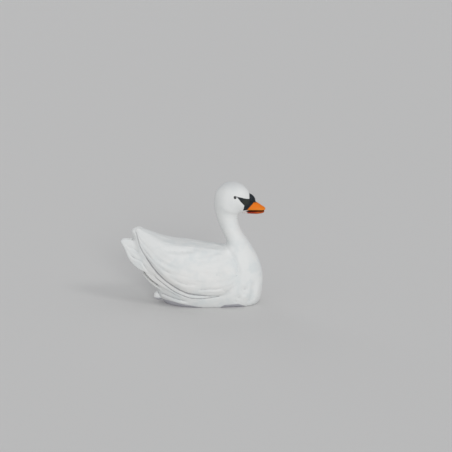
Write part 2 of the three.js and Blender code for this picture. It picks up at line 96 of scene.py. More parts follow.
def closed(rings):
    """The points and faces of a closed form through rings of points, with a fan over each end."""
    count, sides = rings.shape[:2]
    points = np.vstack([rings.reshape(-1, 3), rings[0].mean(0), rings[-1].mean(0)])
    near = np.arange(sides)
    far = (near + 1) % sides
    faces = []
    for start in range(0, (count - 1) * sides, sides):
        corners = (start + near, start + far, start + sides + far, start + sides + near)
        faces += np.stack(corners, 1).tolist()
    last = (count - 1) * sides
    faces += [(count * sides, b, a) for a, b in zip(near.tolist(), far.tolist())]
    faces += [(count * sides + 1, last + a, last + b) for a, b in zip(near.tolist(), far.tolist())]
    return points, faces


def eased(values, power):
    return np.sign(values) * np.abs(values) ** power


def hung(back, belly, half, widest, sides, power=1.0):
    """A closed form whose rings hang between a back line and a belly line of x and z."""
    angle = np.linspace(0, 2 * math.pi, sides, endpoint=False)
    up, across = np.cos(angle), eased(np.sin(angle), power)
    share = widest[:, None] + np.where(up > 0, 1 - widest[:, None], widest[:, None]) * up
    places = belly[:, None] + (back - belly)[:, None] * share[..., None]
    return closed(np.stack([places[..., 0], half[:, None] * across, places[..., 1]], 2))


body_line = through(BODY, np.linspace(0, 1, BODY_RINGS))
body_form = hung(body_line[:, :2], body_line[:, 2:4], body_line[:, 4], body_line[:, 5], BODY_SIDES)


# ---- Knob of the bill -------------------------------------------------------------------------------
# A cob's knob swells from the root of the bill and carries the line of the forehead down to it. It is
# part of the same moulding, and the black paint of the mask runs over it.
KNOB_PLACE = np.array([29.2, 55.9])
KNOB_LENGTH, KNOB_HEIGHT, KNOB_HALF = 3.6, 2.75, 2.5
KNOB_TILT = math.radians(-45)
KNOB_RINGS, KNOB_SIDES = 40, 48
KNOB_POLE = 0.05  # how far from its ends, in radians, the first and last rings lie

knob_angle = np.linspace(KNOB_POLE, math.pi - KNOB_POLE, KNOB_RINGS)
knob_along = np.array([math.cos(KNOB_TILT), math.sin(KNOB_TILT)])
knob_up = np.array([-knob_along[1], knob_along[0]])
knob_line = KNOB_PLACE - np.cos(knob_angle)[:, None] * knob_along * KNOB_LENGTH
knob_rise = np.sin(knob_angle)[:, None] * knob_up * KNOB_HEIGHT
knob_half = np.sin(knob_angle) * KNOB_HALF
knob_middle = np.full(KNOB_RINGS, 0.5)
knob_form = hung(knob_line + knob_rise, knob_line - knob_rise, knob_half, knob_middle, KNOB_SIDES)


# ---- Folded wings -----------------------------------------------------------------------------------
# Each folded wing lies in four moulded layers: the broad shield of coverts, the secondaries that show
# as a strip behind and below it, the primaries that reach back over the tail, and the flank feathers.
LEAF_RINGS, LEAF_SIDES = 90, 72
LEAF_FULLNESS = 0.9  # below 1, the rounding across a leaf is fuller than an ellipse
SHIELD = [
    # low edge x, y, z; high edge x, y, z; bulge outwards; bulge inwards, all on the swan's right
    (23.7, -9.9, 17.2, 23.5, -9.5, 20.4, 0.5, 1.6),
    (22.2, -11.5, 12.6, 21.8, -8.6, 26.2, 2.3, 3.2),
    (18.8, -12.7, 9.2, 18.4, -6.0, 29.8, 4.0, 3.6),
    (13.0, -13.3, 7.5, 13.2, -4.3, 31.1, 4.9, 3.4),
    (5.0, -13.4, 7.8, 5.6, -4.8, 31.7, 5.3, 3.2),
    (-3.5, -13.3, 9.1, -3.0, -5.6, 32.9, 5.2, 3.0),
    (-11.1, -12.6, 13.1, -11.5, -6.1, 34.0, 4.3, 2.8),
    (-17.6, -11.3, 18.2, -18.5, -4.9, 36.4, 3.2, 2.4),
    (-22.8, -9.1, 24.2, -24.0, -3.2, 39.0, 2.1, 1.8),
    (-27.4, -6.5, 31.0, -27.6, -2.1, 40.5, 1.1, 1.2),
    (-29.9, -2.6, 38.6, -29.7, -1.9, 40.8, 0.4, 0.9),
]
SECONDARIES = [
    (13.4, -12.7, 7.0, 13.6, -12.7, 7.6, 0.2, 0.6),
    (6.4, -12.9, 6.0, 6.8, -12.9, 8.8, 0.8, 1.6),
    (0.0, -12.9, 5.9, 0.8, -12.9, 9.8, 0.9, 1.8),
    (-5.0, -12.7, 7.3, -3.6, -12.6, 11.8, 0.9, 1.8),
    (-10.4, -12.2, 9.8, -8.4, -12.0, 15.0, 0.9, 1.8),
    (-16.2, -11.2, 14.2, -13.6, -11.0, 19.8, 0.8, 1.8),
    (-20.9, -9.9, 18.2, -17.8, -9.5, 24.0, 0.8, 1.7),
    (-24.5, -8.1, 22.8, -21.6, -8.1, 28.0, 0.7, 1.5),
    (-27.9, -5.8, 27.6, -25.0, -6.2, 32.4, 0.7, 1.3),
    (-29.6, -3.3, 32.6, -27.0, -4.4, 36.8, 0.7, 1.2),
    (-31.2, -1.8, 36.4, -29.0, -2.4, 39.8, 0.6, 1.0),
    (-32.0, -1.3, 38.6, -31.2, -1.4, 40.0, 0.35, 0.6),
]
PRIMARIES = [
    (-17.0, -9.6, 16.0, -15.0, -9.2, 19.0, 0.3, 1.2),
    (-20.5, -9.5, 17.3, -17.2, -8.4, 23.4, 0.5, 1.8),
    (-25.0, -8.3, 18.8, -20.8, -7.0, 28.0, 0.6, 2.0),
    (-29.7, -6.8, 20.9, -24.8, -4.6, 32.2, 0.8, 1.8),
    (-33.7, -4.5, 24.6, -29.6, -2.6, 34.2, 0.9, 1.6),
    (-35.9, -2.7, 29.2, -33.6, -1.5, 34.6, 0.8, 1.3),
    (-37.5, -1.5, 32.0, -36.5, -1.2, 34.6, 0.55, 0.9),
    (-38.1, -1.1, 33.2, -37.8, -1.1, 34.2, 0.3, 0.6),
]
FLANK = [
    (4.0, -11.8, 4.6, 4.1, -11.8, 4.9, 0.05, 0.4),
    (-4.0, -11.8, 5.4, -3.0, -12.1, 8.4, 0.6, 1.8),
    (-9.8, -11.3, 8.0, -8.4, -11.6, 12.2, 0.8, 2.2),
    (-16.3, -10.2, 11.5, -14.2, -10.2, 16.6, 0.8, 2.0),
    (-20.9, -9.0, 14.3, -18.8, -9.0, 19.0, 0.7, 1.6),
    (-23.6, -8.4, 16.8, -22.4, -8.4, 19.6, 0.5, 1.0),
    (-25.2, -8.1, 18.8, -24.8, -8.1, 19.6, 0.25, 0.4),
]


def unit(vectors):
    return vectors / np.linalg.norm(vectors, axis=-1, keepdims=True)


def feather_layer(rows):
    """A closed leaf of feathers through rows of its edges and bulges."""
    line = through(rows, np.linspace(0, 1, LEAF_RINGS))
    low, high = line[:, :3], line[:, 3:6]
    middle, chord = (low + high) / 2, high - low
    outward = unit(np.cross(np.gradient(middle, axis=0), chord))
    outward *= -np.sign(outward[:, 1:2])
    angle = np.linspace(0, 2 * math.pi, LEAF_SIDES, endpoint=False)
    bulge = np.where(np.sin(angle) > 0, line[:, 6:7], line[:, 7:8]) * eased(np.sin(angle), LEAF_FULLNESS)
    lift = chord[:, None] * (-np.cos(angle) / 2)[None, :, None]
    return closed(middle[:, None] + lift + outward[:, None] * bulge[..., None])


def mirrored(form):
    points, faces = form
    return points * (1, -1, 1), [face[::-1] for face in faces]


right_wing = [feather_layer(rows) for rows in (SHIELD, SECONDARIES, PRIMARIES, FLANK)]
wing_forms = right_wing + [mirrored(form) for form in right_wing]


# ---- Back and rump ----------------------------------------------------------------------------------
# The feathers of the back fill the space between the two wings, gently crowned, up to the wing tips.
# Under the tips the rump fills the space between the primaries.
BACK = [
    # top x, z; bottom x, z; half width; height of the widest place, as a share
    (18.0, 30.3, 18.0, 26.0, 4.6, 0.66),
    (13.2, 31.7, 13.0, 26.0, 5.2, 0.70),
    (5.6, 32.3, 5.6, 26.0, 5.9, 0.73),
    (-3.0, 33.5, -3.0, 26.0, 6.7, 0.77),
    (-11.5, 34.6, -12.0, 27.0, 7.3, 0.78),
    (-18.5, 36.9, -20.0, 28.0, 5.9, 0.81),
    (-24.0, 39.4, -26.0, 30.0, 3.9, 0.83),
    (-27.6, 40.6, -30.3, 31.5, 2.6, 0.83),
    (-29.8, 41.0, -31.4, 33.0, 1.8, 0.75),
    (-31.4, 40.3, -31.9, 35.0, 1.3, 0.65),
    (-32.4, 39.3, -32.4, 37.2, 0.6, 0.5),
]
RUMP = [
    (-37.0, 34.1, -37.5, 33.0, 0.5, 0.5),
    (-34.2, 33.9, -35.7, 30.2, 1.1, 0.5),
    (-30.2, 33.6, -32.6, 26.4, 2.4, 0.5),
    (-26.0, 32.6, -28.4, 23.0, 4.0, 0.5),
    (-21.5, 31.0, -24.0, 20.5, 5.6, 0.5),
    (-17.0, 29.0, -19.5, 18.0, 6.6, 0.5),
]


def filling(rows):
    line = through(rows, np.linspace(0, 1, LEAF_RINGS))
    return hung(line[:, :2], line[:, 2:4], line[:, 4], line[:, 5], LEAF_SIDES)


filling_forms = [filling(BACK), filling(RUMP)]


# ---- Tail and stern ---------------------------------------------------------------------------------
# The short tail is a flat wedge under the wing tips, and the undertail is a rounded knob below it.
# Both belong to the same moulding.
TAIL = [
    # middle x, z; half width; half thickness
    (-13.0, 7.2, 6.6, 1.8),
    (-17.5, 9.2, 6.4, 1.5),
    (-21.6, 11.9, 5.6, 1.1),
    (-25.0, 14.7, 3.8, 0.9),
    (-26.9, 16.2, 1.7, 0.5),
]
UNDERTAIL = [
    (-12.0, 3.6, 6.6, 2.0),
    (-15.6, 3.9, 4.8, 1.8),
    (-17.4, 3.9, 3.0, 1.9),
    (-19.0, 3.8, 2.7, 2.3),
    (-20.3, 3.8, 2.4, 2.0),
    (-21.2, 3.9, 1.5, 1.1),
]
WEDGE_FULLNESS = 0.8


def flat_wedge(rows):
    line = through(rows, np.linspace(0, 1, LEAF_RINGS))
    along = unit(np.gradient(line[:, :2], axis=0))
    thick = np.stack([-along[:, 1], along[:, 0]], 1) * line[:, 3:4]
    halfway = np.full(LEAF_RINGS, 0.5)
    return hung(line[:, :2] + thick, line[:, :2] - thick, line[:, 2], halfway, LEAF_SIDES, WEDGE_FULLNESS)


stern_forms = [flat_wedge(TAIL), flat_wedge(UNDERTAIL)]


# ---- The moulding -----------------------------------------------------------------------------------
# The forms melt into one skin, as the plastic does in its mould: edges are a little round, and the
# flat underside has a soft bevel all round.
VOXEL = 0.24
SOFTENING = 6  # rounds of smoothing
PULL, PUSH = 0.5, 0.52  # shares of the way in and out again, which together keep the volume
BLENDING = 190  # more rounds where the wing's edges and the foot of the neck run into the body
BASE_SNAP = 0.16  # lower than this, a point lies in the flat underside
TRIMMED = [
    # x; how high the trimmed edge of the base reaches
    (-20.0, 3.3), (-10.4, 3.4), (-7.4, 2.7), (-1.8, 1.7), (3.5, 0.6), (5.5, 0.0), (13.5, 0.0),
    (16.0, 2.0), (19.8, 2.2), (23.7, 2.3), (26.2, 1.1), (27.8, 0.0),
]
TRIM_SLOPE, TRIM_REACH = 0.36, 9.5
TRIM_STERN = (-11, -17)  # x where the trimmed edge starts to slope forwards, and does so in full
LEADING_EDGE = [
    # axis; where there is no blending yet; where it is full. y is the distance from the middle
    ("x", 13, 19), ("x", 27, 25), ("y", 4, 6), ("z", 5, 9), ("z", 38, 34),
]
WING_TOP = [("y", 2, 4), ("y", 11, 9), ("z", 26, 29), ("x", 17, 13), ("x", -29, -25)]
NECK_FOOT = [("x", 9, 13), ("x", 25, 21), ("z", 24, 28), ("z", 41, 35)]
NECK_FOOT_SHARE = 0.7


def joined(forms):
    """Several closed forms as one list of points and one of faces."""
    points, faces, count = [], [], 0
    for form_points, form_faces in forms:
        points.append(form_points)
        faces += [[corner + count for corner in face] for face in form_faces]
        count += len(form_points)
    return np.vstack(points), faces


def melted(points, faces):
    """One skin over closed forms that run into each other."""
    mesh = bpy.data.meshes.new("forms")
    mesh.from_pydata(points.tolist(), [], faces)
    block = bpy.data.objects.new("forms", mesh)
    bpy.context.scene.collection.objects.link(block)
    remesh = block.modifiers.new("melt", "REMESH")
    remesh.mode = "VOXEL"
    remesh.voxel_size = VOXEL
    whole = block.evaluated_get(bpy.context.evaluated_depsgraph_get())
    skin = bpy.data.meshes.new_from_object(whole)
    bpy.data.objects.remove(block)
    return skin


def read(mesh):
    """The points of a mesh and the pairs of points that its edges join."""
    points = np.empty(len(mesh.vertices) * 3)
    mesh.vertices.foreach_get("co", points)
    edges = np.empty(len(mesh.edges) * 2, int)
    mesh.edges.foreach_get("vertices", edges)
    return points.reshape(-1, 3), edges.reshape(-1, 2)


def softened(values, edges, rounds, share=0.5, back=None):
    """Values of points drawn towards the mean of their neighbours, and with back, pushed out again."""
    count = np.bincount(edges.ravel(), minlength=len(values)).astype(float)
    for _ in range(rounds):
        for step in (share,) if back is None else (share, -back):
            total = np.empty_like(values)
            for axis in range(values.shape[1]):
                total[:, axis] = np.bincount(
                    edges.ravel(), values[edges[:, ::-1].ravel(), axis], minlength=len(values))
            values = values + (total / count[:, None] - values) * step
    return values


def normals_of(mesh, points):
    mesh.vertices.foreach_set("co", points.ravel())
    mesh.update()
    normals = np.empty(len(points) * 3)
    mesh.vertex_normals.foreach_get("vector", normals)
    return normals.reshape(-1, 3)


all_points, all_faces = joined([body_form, knob_form, *wing_forms, *filling_forms, *stern_forms])
all_points[:, 2] = np.maximum(all_points[:, 2], 0)
skin_mesh = melted(all_points, all_faces)
skin_points, skin_edges = read(skin_mesh)
skin_points = softened(skin_points, skin_edges, SOFTENING, PULL, PUSH)


def ramp(values, low, high):
    """0 at low, 1 at high, and smooth between them."""
    t = np.clip((values - low) / (high - low), 0, 1)
    return t * t * (3 - 2 * t)


def within(points, limits):
    """How far points lie inside a stretch of the toy, from 0 to 1, on both sides of it alike."""
    ways = {"x": points[:, 0], "y": np.abs(points[:, 1]), "z": points[:, 2]}
    share = np.ones(len(points))
    for axis, none, full in limits:
        share = share * ramp(ways[axis], none, full)
    return share


blend = np.maximum(within(skin_points, LEADING_EDGE), within(skin_points, WING_TOP))
blend = np.maximum(blend, NECK_FOOT_SHARE * within(skin_points, NECK_FOOT))[:, None]
skin_points = softened(skin_points, skin_edges, BLENDING, PULL * blend)
trim = np.clip(np.interp(skin_points[:, 0], *np.transpose(TRIMMED)) - skin_points[:, 2], 0, None)
skin_points[:, 1] *= 1 - TRIM_SLOPE * trim / TRIM_REACH
skin_points[:, 0] += TRIM_SLOPE * trim * ramp(skin_points[:, 0], *TRIM_STERN)


# ---- Feather relief ---------------------------------------------------------------------------------
# Soft feather edges are moulded into the wings: shallow grooves whose lower lip stands a little proud.
# Small dimples and an uneven surface are left by the hand-made master.
GROOVES = [
    # x, z of the groove from end to end; depth, below 0 for a ridge; width
    ([(-17.5, 32.4), (-12.7, 31.3), (-9.0, 30.9), (-5.3, 30.7), (-1.7, 30.8), (5.6, 31.8)], 0.55, 1.1),
    ([(0.2, 27.6), (4.6, 28.2), (9.3, 28.8), (13.0, 29.4), (15.9, 29.9)], 0.16, 0.8),
    ([(-5.3, 26.4), (0.2, 26.0), (5.7, 25.7), (10.4, 25.7), (14.8, 26.4)], 0.16, 0.8),
    ([(-22.6, 28.0), (-19.3, 27.1), (-15.6, 25.4), (-11.3, 23.5), (-6.9, 22.3)], 0.22, 1.1),
    ([(-16.3, 22.1), (-12.0, 20.6), (-7.2, 19.2), (-2.8, 18.3), (1.2, 17.9)], 0.22, 0.9),
    ([(-10.5, 16.2), (-7.2, 15.5), (-3.6, 14.5), (0.1, 14.3), (3.0, 14.1)], 0.18, 0.8),
    ([(1.9, 11.1), (4.5, 11.5), (8.5, 11.7), (12.9, 11.9), (15.9, 12.4)], 0.20, 0.7),
    ([(9.0, 7.4), (13.0, 8.4), (17.0, 9.6), (20.5, 11.8), (22.3, 15.3), (23.0, 19.9), (22.8, 25.0)],
     0.22, 1.5),
    ([(-19.5, 6.5), (-16.4, 6.4), (-13.0, 5.7), (-9.0, 4.8), (-5.0, 4.2), (-1.7, 3.4)], 0.42, 0.7),
    ([(28.0, 1.0), (29.6, 3.8), (30.9, 7.2), (31.5, 11.0), (31.3, 15.0)], 0.50, 1.3),
    ([(13.0, 32.2), (18.5, 31.2), (20.8, 29.8), (23.3, 26.6), (25.2, 22.0), (25.4, 17.5), (23.5, 12.0)],
     -0.36, 1.3),
    ([(-35.8, 32.2), (-32.8, 31.1), (-29.8, 29.7), (-28.5, 28.5)], 0.16, 0.6),
    ([(-34.5, 28.1), (-32.1, 26.6), (-30.1, 25.6), (-26.8, 24.3), (-24.5, 21.0), (-22.1, 18.6)], 0.2, 0.6),
]
DIMPLES = [
    # x, z; radius; depth
    (26.9, 10.4, 1.6, 0.60),
    (26.4, 7.9, 1.2, 0.34),
    (23.7, 5.7, 1.5, 0.52),
    (22.6, 3.6, 1.2, 0.34),
    (16.2, 10.8, 0.7, 0.16),
    (12.4, 19.2, 0.9, 0.13),
    (18.1, 21.8, 1.3, 0.12),
    (5.7, 21.1, 1.5, 0.12),
]
BARBS = [
    # feather layer; how many barbs lie across it; along it; how far they stand out
    (SHIELD, 9.0, 3.5, 0.22),
    (SHIELD, 24.0, 7.0, 0.06),
    (PRIMARIES, 7.0, 2.0, 0.16),
    (SECONDARIES, 2.0, 6.0, 0.08),
    (FLANK, 2.5, 4.0, 0.08),
]
CREASES = [
    # feather layer whose low edge is undercut; depth; width; shares of its length where it starts and ends
    (SHIELD, 0.40, 0.42, 0.28, 1.08),
    (SHIELD, 0.17, 1.60, 0.42, 0.98),
    (SECONDARIES, 0.32, 0.32, -0.1, 0.52),
    (PRIMARIES, 0.15, 0.3, 0.0, 1.0),
]
EDGE_WIDTH = 1.1  # how far around the secondaries' rear edge the step is worn soft
CREASE_START, CREASE_END = 0.2, 0.15  # shares of a layer's length over which its crease sets in and fades
END_FADE, SIDE_FADE = 0.08, 0.12  # shares of a layer's length and width over which its barbs fade
SIDE_SHIFT = 7  # keeps the barbs of the two wings from being the same
GROOVE_FADE = 0.25  # the share of a groove's length over which each of its ends fades
LIP_HEIGHT, LIP_OFFSET, LIP_WIDTH = 0.7, 1.7, 1.2  # of a groove's lip, in its depths and widths
BACK_STREAKS, BACK_GRAIN = 0.22, (0.12, 0.75, 0.05)  # height of the streaks; how often they come, by axis
UNEVEN, UNEVEN_GRAIN = 0.07, 0.22
LAYER_KNOTS = 120


def beside(points, line):
    """How far points of x and z are from a smooth line, left of it positive, and where along it."""
    knots = through(line, np.linspace(0, 1, 8 * len(line)))
    best = np.full(len(points), np.inf)
    signed, along = np.zeros(len(points)), np.zeros(len(points))
    for index, (start, end) in enumerate(zip(knots[:-1], knots[1:])):
        run = end - start
        t = np.clip(((points - start) @ run) / (run @ run), 0, 1)
        gap = points - start - t[:, None] * run
        size = np.hypot(gap[:, 0], gap[:, 1])
        nearer = size < best
        best[nearer] = size[nearer]
        side = np.sign(run[0] * gap[:, 1] - run[1] * gap[:, 0])
        signed[nearer] = (size * side)[nearer]
        along[nearer] = (index + t[nearer]) / (len(knots) - 1)
    return signed, along


def groove(points, line, depth, width):
    """The height of a feather's edge at points: a groove, and a lip below it, that fade at both ends."""
    offset, along = beside(points, line)
    fade = ramp(np.minimum(along, 1 - along), 0, GROOVE_FADE)
    valley = np.exp(-(offset / width) ** 2)
    lip = np.exp(-((offset / width + LIP_OFFSET) / LIP_WIDTH) ** 2)
    return depth * (LIP_HEIGHT * lip - valley) * fade


def on_layer(points, rows):
    """Where points of x and z lie on a feather layer: along it and across it, and whether they do."""
    line = through(rows, np.linspace(0, 1, LAYER_KNOTS))
    low, chord = line[:, [0, 2]], line[:, [3, 5]] - line[:, [0, 2]]
    along, across = np.zeros(len(points)), np.zeros(len(points))
    found = np.zeros(len(points), bool)
    for index in range(len(line) - 1):
        sides, shares = [], []
        for start, run in ((low[index], chord[index]), (low[index + 1], chord[index + 1])):
            gap = points - start
            sides.append(gap[:, 0] * run[1] - gap[:, 1] * run[0])
            shares.append((gap @ run) / (run @ run))
        t = np.clip(sides[0] / (sides[0] - sides[1] + 1e-12), 0, 1)
        share = shares[0] * (1 - t) + shares[1] * t
        here = ~found & (sides[0] * sides[1] <= 0) & (share > -0.02) & (share < 1.02)
        along[here], across[here] = ((index + t) / (len(line) - 1))[here], share[here]
        found |= here
    return along, across, found


def noise_at(places, seed):
    return np.array([noise.noise(Vector(place) + Vector((seed, seed, seed))) for place in places.tolist()])


rear_edge, _ = beside(skin_points[:, [0, 2]], np.array(SECONDARIES)[6:-1, [0, 2]])
rear_edge = np.exp(-(rear_edge / EDGE_WIDTH) ** 2)
skin_points = softened(skin_points, skin_edges, BLENDING, PULL * rear_edge[:, None])
skin_normals = normals_of(skin_mesh, skin_points)
outer = np.clip(skin_normals[:, 1] * np.sign(skin_points[:, 1]) * 3 - 0.3, 0, 1)
sideways = skin_points[:, [0, 2]]
relief = np.zeros(len(skin_points))
for line, depth, width in GROOVES:
    relief += groove(sideways, line, depth, width)
for x, z, radius, depth in DIMPLES:
    relief -= depth * np.exp(-((sideways - (x, z)) ** 2).sum(1) / radius**2)
for rows, depth, width, start, end in CREASES:
    offset, along = beside(sideways, np.array(rows)[:, [0, 2]])
    fade = ramp(along, start, start + CREASE_START) * ramp(along, end, end - CREASE_END)
    relief -= depth * np.exp(-(offset / width) ** 2) * fade
outside = np.flatnonzero(outer > 0.02)
for rows, count_across, count_along, height in BARBS:
    along, across, found = on_layer(sideways[outside], rows)
    side = np.sign(skin_points[outside, 1]) * SIDE_SHIFT
    places = np.stack([along * count_along, across * count_across, side], 1)[found]
    ends, sides = np.minimum(along, 1 - along) / END_FADE, np.minimum(across, 1 - across) / SIDE_FADE
    fade = ramp(np.minimum(ends, sides)[found], 0, 1)
    relief[outside[found]] += height * noise_at(places, count_across) * fade
relief *= outer
on_back = np.clip(skin_normals[:, 2] * 2 - 0.6, 0, 1) * ramp(skin_points[:, 0], 17, 12)
relief += BACK_STREAKS * on_back * noise_at(skin_points * BACK_GRAIN, 5.3)
relief += UNEVEN * noise_at(skin_points * UNEVEN_GRAIN, 17.7)
skin_points = skin_points + skin_normals * relief[:, None]
skin_points[:, 2] = np.where(skin_points[:, 2] < BASE_SNAP, 0, skin_points[:, 2])

# Hollows are found out to about a millimetre around, and the paint darkens them with dust and painted
# shade.
HOLLOW_ROUNDS = 14
FULL_HOLLOW, FULL_TRIM = 0.13, 0.5  # how deep a hollow and a trimmed edge are where they count in full

skin_normals = normals_of(skin_mesh, skin_points)
hollow = ((softened(skin_points, skin_edges, HOLLOW_ROUNDS) - skin_points) * skin_normals).sum(1)
hollow = softened(np.clip(hollow / FULL_HOLLOW, -1, 1)[:, None], skin_edges, 1)[:, 0]
skin_mesh.attributes.new("hollow", "FLOAT", "POINT").data.foreach_set("value", hollow)
# How far the base is trimmed. The paint turns this into painted shade and a painted violet reflection on
# the bevel.
trimmed = softened(np.clip(trim / FULL_TRIM, 0, 1)[:, None], skin_edges, 2)[:, 0]
skin_mesh.attributes.new("trimmed", "FLOAT", "POINT").data.foreach_set("value", trimmed)

skin_mesh.vertices.foreach_set("co", ((skin_points + (FORWARD, 0, 0)) * MM).ravel())
skin_mesh.polygons.foreach_set("use_smooth", np.ones(len(skin_mesh.polygons), bool))
skin_mesh.update()
skin = bpy.data.objects.new("skin", skin_mesh)
bpy.context.scene.collection.objects.link(skin)
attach(skin, "root")
sided = [f"{layer}_{side}" for layer in ("wing_shield", "secondaries", "primaries", "flank")
         for side in ("right", "left")]
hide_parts("trunk", "neck_lower", "neck_upper", "head", "mask", "bill_knob", "tail",
            "undertail", *sided)


# ---- White paint and black mask ---------------------------------------------------------------------
# The toy is brushed all over with a thin, slightly uneven white; dust and painted shade darken its
# hollows, painted shade its foot, crown and trimmed base, and a painted highlight lightens its shoulder.
# The black mask is painted on the face by hand, from the eyes down over the root of the bill, with a
# painted highlight in its middle.
WHITE = (0.80, 0.81, 0.80, 1)
HIGHLIGHT_WHITE = (0.88, 0.89, 0.88, 1)
COOL_WHITE = (0.69, 0.73, 0.735, 1)
WARM_WHITE = (0.79, 0.765, 0.735, 1)
BEVEL_SHADE_GREY = (0.44, 0.435, 0.485, 1)
DUST_AND_SHADE = (0.23, 0.225, 0.25, 1)
MASK_BLACK = (0.008, 0.010, 0.012, 1)
MASK_BLUE = (0.016, 0.026, 0.036, 1)
MASK_HIGHLIGHT = (0.040, 0.044, 0.036, 1)
SHOULDER_HIGHLIGHT = (18.6, 30.6, 3.6, 3.0)  # painted highlight on the shoulder, in a whiter white: middle x, z; radius; how softly it ends
MASK_HIGHLIGHT_PATCH = (27.0, 55.4, 3.2, 2.6)  # painted highlight on the black mask, given alike
COOL_LOW, COOL_HIGH = 31.0, 37.0  # heights between which the cool white gets weaker
CROWN_SHADE_LOW, CROWN_SHADE_HIGH = 60.0, 65.5  # heights between which the crown gets darker with painted shade
FOOT_SHADE_HEIGHT = 1.2  # the painted shade round the foot reaches up to here
MASK_EDGES = {
    # a place on the edge x, z; which way the black lies from it, along x and z
    "cheek": (25.7, 50.1, 1.0, -0.21),
    "lore": (22.7, 58.3, 0.785, 0.62),
    "brow": (22.9, 58.6, -0.285, -0.958),
    "knob": (29.1, 0.0, 1.0, 0.0),
    "chin": (0.0, 50.7, 0.0, 1.0),
}


class Wire:
    """A value that varies over a painted surface. Arithmetic on it adds Math nodes."""

    def __init__(self, paint, socket):
        self.paint = paint
        self.socket = socket

    def math(self, operation, *values):
        inputs = dict(enumerate(values))
        return self.paint.node("ShaderNodeMath", {"operation": operation}, inputs)

    def __add__(self, other):
        return self.math("ADD", self, other)

    def __sub__(self, other):
        return self.math("SUBTRACT", self, other)

    def __rsub__(self, other):
        return self.math("SUBTRACT", other, self)

    def __mul__(self, other):
        return self.math("MULTIPLY", self, other)

    def root(self):
        return self.math("SQRT", self)

    def least(self, other):
        return self.math("MINIMUM", self, other)

    def most(self, other):
        return self.math("MAXIMUM", self, other)

    __radd__ = __add__
    __rmul__ = __mul__


class Paint:
    """A material with its shader, and the ways in which its paint is mixed."""

    def __init__(self, name, **shader_values):
        self.material = bpy.data.materials.new(name)
        self.material.use_nodes = True
        self.tree = self.material.node_tree
        self.shader = self.tree.nodes["Principled BSDF"]
        for socket, value in shader_values.items():
            self.shader.inputs[socket.replace("_", " ")].default_value = value

    def node(self, kind, settings=None, inputs=None, output=0):
        """A node with its settings made first, then its inputs, by number or name."""
        node = self.tree.nodes.new(kind)
        for name, value in (settings or {}).items():
            setattr(node, name, value)
        for socket, value in (inputs or {}).items():
            self.feed(node.inputs[socket], value)
        return Wire(self, node.outputs[output])

    def feed(self, socket, value):
        if isinstance(value, Wire):
            self.tree.links.new(value.socket, socket)
        else:
            socket.default_value = value

    def place(self):
        """Where a point is, in millimetres, as a vector and as its x and z."""
        spot = self.node("ShaderNodeTexCoord", output="Object")
        spot = self.node("ShaderNodeVectorMath", {"operation": "SCALE"}, {0: spot, "Scale": 1 / MM})
        spot = self.node("ShaderNodeVectorMath", {"operation": "SUBTRACT"}, {0: spot, 1: (FORWARD, 0, 0)})
        parts = [self.node("ShaderNodeSeparateXYZ", inputs={0: spot}, output=axis) for axis in "XZ"]
        return spot, *parts

    def stretched(self, spot, scale):
        return self.node("ShaderNodeVectorMath", {"operation": "MULTIPLY"}, {0: spot, 1: scale})

    def mottle(self, spot, scale, detail=3.0):
        """Noise from 0 to 1 at a scale per millimetre."""
        inputs = {"Vector": spot, "Scale": scale, "Detail": detail}
        return self.node("ShaderNodeTexNoise", inputs=inputs, output="Fac")

    def step(self, value, low, high):
        """0 below low, 1 above high, and smooth between them."""
        inputs = {"Value": value, "From Min": low, "From Max": high}
        return self.node("ShaderNodeMapRange", {"interpolation_type": "SMOOTHSTEP"}, inputs)

    def mix(self, mask, under, over):
        inputs = {0: mask, 6: under, 7: over}
        return self.node("ShaderNodeMix", {"data_type": "RGBA"}, inputs, output=2)

    def bump(self, height, strength, distance):
        inputs = {"Height": height, "Strength": strength, "Distance": distance * MM}
        return self.node("ShaderNodeBump", inputs=inputs)

    def finish(self, **sockets):
        """Sends what varies to the shader's sockets."""
        for socket, value in sockets.items():
            self.feed(self.shader.inputs[socket.replace("_", " ")], value)
        return self.material


def beyond(x, z, edge):
    """How far a point lies beyond a straight edge of paint, in millimetres."""
    at_x, at_z, along_x, along_z = edge
    return (x - at_x) * along_x + (z - at_z) * along_z


def patch(paint, x, z, spread):
    """1 in the middle of a round patch of paint and 0 outside it."""
    middle_x, middle_z, radius, softness = spread
    off_x, off_z = x - middle_x, z - middle_z
    return paint.step(radius - (off_x * off_x + off_z * off_z).root(), 0.0, softness)


def mask_edge(paint, spot, x, z):
    """How far inside the black mask a point is, in millimetres, with a hand-painted waver."""
    waver = (paint.mottle(spot, 0.9, 2.0) - 0.5) * 0.35
    cheek, lore, brow, knob, chin = (beyond(x, z, edge) for edge in MASK_EDGES.values())
    return cheek.most(lore).least(brow.most(knob)).least(chin) + waver


